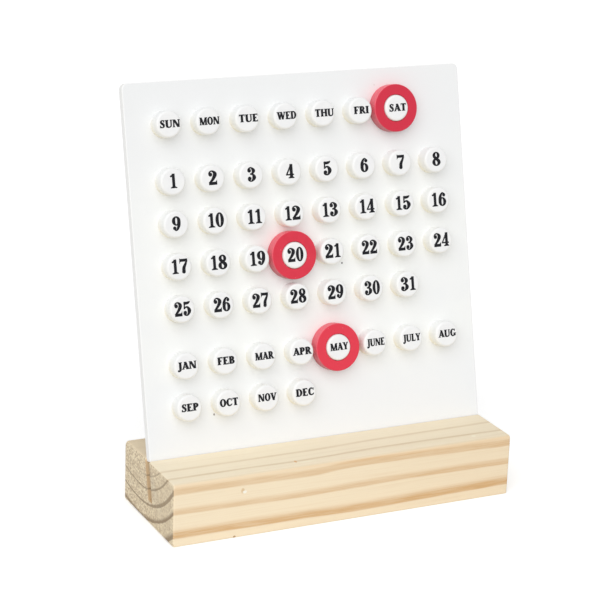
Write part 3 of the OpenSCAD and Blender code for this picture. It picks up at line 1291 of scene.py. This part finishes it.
@dataclass(frozen=True)
class Printing:
    """The print on one group of studs. Sizes and offsets are in millimetres.

    The weight, in shares of the height, is how far each edge of a stroke is moved outwards.
    Triangles with an area below the least are left out, no width counts as less than it, and
    points closer than the weld are joined.
    """

    name: str
    labels: dict[str, str]
    alphabet: dict[str, Glyph]
    height: float
    most_width: float
    offset: Pair
    weight: float
    thickness: float = 0.05
    sunk: float = 0.02
    least: float = 1e-6
    weld: float = 1e-5

    def ribbons(self, text: str) -> tuple[Array, Indices]:
        """The strokes of a text as strips of triangles that may overlap.

        Args:
            text: the text, whose signs are all in the alphabet.

        Returns:
            Points about the text's middle in millimetres, and triangles, all anticlockwise.
        """
        glyphs = [self.alphabet[sign] for sign in text]
        starts = np.cumsum([0.0, *(glyph.width for glyph in glyphs)])
        squeeze = min(self.most_width / (starts[-1] * self.height), 1.0)
        scale = self.height * np.array([squeeze, 1.0])
        points, strips, count = [], [], 0
        for glyph, start in zip(glyphs, starts):
            for stroke in glyph.strokes:
                one, other = stroke.edges()
                width = np.linalg.norm(one - other, axis=1, keepdims=True)
                outward = (one - other) / np.maximum(width, self.least) * self.weight
                edges = np.concatenate([one + outward, other - outward])
                edges += [start - starts[-1] / 2, -0.5]
                quads = grid_faces(2, len(one), False, False)
                strip = np.concatenate([quads[:, [0, 1, 2]], quads[:, [0, 2, 3]]])
                second, third = np.moveaxis(edges[strip[:, 1:]] - edges[strip[:, :1]], 1, 0)
                area = second[:, 0] * third[:, 1] - second[:, 1] * third[:, 0]
                strip[area < 0] = strip[area < 0, ::-1]
                points.append(edges * scale)
                strips.append(strip[np.abs(area) > self.least] + count)
                count += len(edges)
        return np.concatenate(points), np.concatenate(strips)

    def covered(self, places: Array, triangles: Array) -> NDArray[np.bool_]:
        """Which places lie in any of some triangles: to the left of all three sides, or on them.

        Args:
            places: the places, one row each.
            triangles: the triangles' corners, anticlockwise.

        Returns:
            A truth value for each place.
        """
        ahead = np.roll(triangles, -1, 1) - triangles
        off = places[:, None, None] - triangles
        left = ahead[..., 0] * off[..., 1] - ahead[..., 1] * off[..., 0]
        return (left >= 0).all(-1).any(-1)

    def plate(self, text: str) -> tuple[Array, Indices, Indices]:
        """A text as one thin closed plate.

        The strips are cut where their sides cross, and the triangles that lie in any of them are
        kept. An edge with a triangle on one side only gets a wall down to a copy below.

        Args:
            text: the text.

        Returns:
            Points along right, up and out in millimetres from the text's middle on the face, the
            triangles of its two sides, and its walls.
        """
        points, strips = self.ribbons(text)
        sides = np.stack([strips, np.roll(strips, -1, 1)], -1).reshape(-1, 2)
        sides = np.unique(np.sort(sides, 1), axis=0)
        cut = delaunay_2d_cdt(points.tolist(), sides.tolist(), [], 0, self.weld)
        flat, kept = np.array(cut[0]), np.array(cut[2])
        kept = kept[self.covered(flat[kept].mean(1), points[strips])]
        used, kept = np.unique(kept, return_inverse=True)
        flat, kept, count = flat[used], kept.reshape(-1, 3), len(used)
        start, stop = kept.reshape(-1), np.roll(kept, -1, 1).reshape(-1)
        rim = ~np.isin(start * count + stop, stop * count + start)
        start, stop = start[rim], stop[rim]
        walls = np.stack([start + count, stop + count, stop, start], -1)
        layers = raised(np.stack([flat, flat]), np.array([self.thickness, -self.sunk]))
        return layers, np.concatenate([kept, kept[:, ::-1] + count]), walls

    def build(self, board: BoardFrame, material: Material) -> None:
        """Print each stud's label on its face.

        Args:
            board: the board's directions.
            material: the ink.
        """
        points, faces, count = [], [], 0
        for node, text in self.labels.items():
            span = board.span(node)
            places, triangles, walls = self.plate(text)
            points.append(places + [*(span[:2].mean(1) + self.offset), span[2, 1]])
            faces += [*(triangles + count).tolist(), *(walls + count).tolist()]
            count += len(places)
        make_piece(self.name, board.world(np.concatenate(points)), faces, material, Body.BOARD)


WEEKDAYS = ("SUN", "MON", "TUE", "WED", "THU", "FRI", "SAT")
MONTHS = ("JAN", "FEB", "MAR", "APR", "MAY", "JUNE", "JULY", "AUG", "SEP", "OCT", "NOV", "DEC")
LAST_DATE = 31
WEEKDAY_LABELS = {f"stud_{name.lower()}": name for name in WEEKDAYS}
DATE_LABELS = {f"stud_date_{date:02d}": str(date) for date in range(1, LAST_DATE + 1)}
MONTH_LABELS = {f"stud_{name[:3].lower()}": name for name in MONTHS}
PRINTS = (
    Printing("weekday_names", WEEKDAY_LABELS, LETTERS,
             height=3.6, most_width=10.2, offset=(0.4, 0.2), weight=0.021),
    Printing("date_numbers", DATE_LABELS, NUMBERS,
             height=6.8, most_width=8.7, offset=(0.0, 0.38), weight=0.006),
    Printing("month_names", MONTH_LABELS, LETTERS,
             height=3.6, most_width=9.7, offset=(0.1, 0.43), weight=0.022),
)
RINGS = (
    MarkerRing("ring_weekday", Body.WEEKDAY, "stud_sat"),
    MarkerRing("ring_date", Body.DATE, "stud_date_20"),
    MarkerRing("ring_month", Body.MONTH, "stud_may"),
)


@dataclass(frozen=True)
class PhotoCamera:
    """The camera that looks at the calendar from the front, left and above.

    Its place and the nearest distance that it sees are in millimetres and its angles are in
    degrees: yaw turns it to the right, pitch lowers its view and roll turns it about its view.
    """

    image_width: int = 600
    focal_pixels: float = 2089.8
    sensor: float = 36.0
    nearest: float = 10.0
    place: Place = (-430.88, -850.01, 405.86)
    yaw: float = 26.1447
    pitch: float = 17.7453
    roll: float = 2.0772

    def build(self) -> None:
        """Make the camera and look through it."""
        yaw, pitch, roll = np.radians([self.yaw, self.pitch, self.roll])
        forward = np.array([np.sin(yaw) * np.cos(pitch), np.cos(yaw) * np.cos(pitch), -np.sin(pitch)])
        level = np.array([np.cos(yaw), -np.sin(yaw), 0.0])
        upright = np.cross(level, forward)
        right = np.cos(roll) * level + np.sin(roll) * upright
        up = np.cos(roll) * upright - np.sin(roll) * level
        data = bpy.data.cameras.new("photo_camera")
        data.sensor_width = self.sensor
        data.lens = self.focal_pixels * self.sensor / self.image_width
        data.clip_start = self.nearest * MM
        camera = bpy.data.objects.new("photo_camera", data)
        camera.matrix_world = Matrix.LocRotScale(
            Vector(self.place) * MM, Matrix(np.stack([right, up, -forward], 1).tolist()), None)
        bpy.context.scene.collection.objects.link(camera)
        bpy.context.scene.camera = camera


@dataclass(frozen=True)
class Studio:
    """A white floor under an even sky, with one broad light from the upper left.

    The sky's and the light's levels are those of a white card that faces them. The light's angle
    is in degrees, half the floor's width in metres and its drop below the object in millimetres.
    """

    sky_level: float = 0.53
    key_level: float = 0.5
    key_towards: Place = (-0.42, -0.7, 0.58)
    key_angle: float = 70.0
    floor_half: float = 8.0
    floor_drop: float = 0.05
    floor_colour: Colour = (0.75, 0.75, 0.75)
    floor_glow: float = 0.3

    def either(self, wiring: Wiring, unseen: Socket, shown: Socket) -> Socket:
        """One shader for what the camera sees, also mirrored or through glass, and one for other light.

        Args:
            wiring: the tree that they are part of.
            unseen: the shader that lights the object.
            shown: the shader that the camera sees.

        Returns:
            The shader that holds both.
        """
        rays = wiring.node("ShaderNodeLightPath").outputs
        direct = wiring.math("MAXIMUM", rays["Is Camera Ray"], rays["Is Glossy Ray"])
        direct = wiring.math("MAXIMUM", direct, rays["Is Transmission Ray"])
        return wiring.node("ShaderNodeMixShader", {0: direct, 1: unseen, 2: shown}).outputs[0]

    def build_sky(self) -> None:
        """Light the scene from all round, with white behind it."""
        world = bpy.data.worlds.new("studio_sky")
        world.use_nodes = True
        wiring = Wiring(world.node_tree)
        light = wiring.tree.nodes["Background"]
        wiring.feed(light.inputs["Color"], WHITE)
        wiring.feed(light.inputs["Strength"], self.sky_level)
        white = wiring.node("ShaderNodeBackground", {"Color": WHITE})
        both = self.either(wiring, light.outputs[0], white.outputs[0])
        wiring.feed(wiring.tree.nodes["World Output"].inputs["Surface"], both)
        bpy.context.scene.world = world

    def build_key(self) -> None:
        """Add the broad light."""
        data = bpy.data.lights.new("key_light", "SUN")
        data.energy = self.key_level * math.pi
        data.angle = math.radians(self.key_angle)
        key = bpy.data.objects.new("key_light", data)
        key.rotation_euler = Vector(self.key_towards).to_track_quat("Z", "Y").to_euler()
        bpy.context.scene.collection.objects.link(key)

    def build_floor(self) -> None:
        """Lay the floor, which looks white where it is lit and keeps shadows."""
        material = bpy.data.materials.new("white_floor")
        material.use_nodes = True
        wiring = Wiring(material.node_tree)
        wiring.tree.nodes.remove(wiring.tree.nodes["Principled BSDF"])
        dull = wiring.node("ShaderNodeBsdfDiffuse", {"Color": self.floor_colour})
        white = wiring.node("ShaderNodeBsdfDiffuse", {"Color": WHITE})
        glow = wiring.node("ShaderNodeEmission", {"Strength": self.floor_glow})
        shown = wiring.node("ShaderNodeAddShader", {0: white.outputs[0], 1: glow.outputs[0]})
        both = self.either(wiring, dull.outputs[0], shown.outputs[0])
        wiring.feed(wiring.tree.nodes["Material Output"].inputs["Surface"], both)
        half, low = self.floor_half, -self.floor_drop * MM
        mesh = bpy.data.meshes.new("studio_floor")
        corners = [(-half, -half, low), (half, -half, low), (half, half, low), (-half, half, low)]
        mesh.from_pydata(corners, [], [(0, 1, 2, 3)])
        mesh.materials.append(material)
        floor = bpy.data.objects.new("studio_floor", mesh)
        bpy.context.scene.collection.objects.link(floor)

    def build(self) -> None:
        """Set up the sky, the light and the floor."""
        self.build_sky()
        self.build_key()
        self.build_floor()


def main() -> None:
    """Build the camera, the studio and every piece of the calendar."""
    logging.basicConfig(level=logging.INFO, format="%(name)s: %(message)s")
    bpy.context.scene.view_settings.view_transform = "Standard"
    PhotoCamera().build()
    Studio().build()
    board = BoardFrame()
    low, high = np.array(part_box("base_block")) / MM
    PineBase().build(board, PineFinish(high[0], (low[1], high[2])).material())
    WhiteBoard().build(board, WHITE_BOARD.material())
    white, red, ink = WHITE_STUD.material(), RED_RING.material(), InkFinish().material()
    for node in (*WEEKDAY_LABELS, *DATE_LABELS, *MONTH_LABELS):
        Stud(node).build(board, white)
    for ring in RINGS:
        ring.build(board, red)
    for printing in PRINTS:
        printing.build(board, ink)


if __name__ == "__main__":
    main()
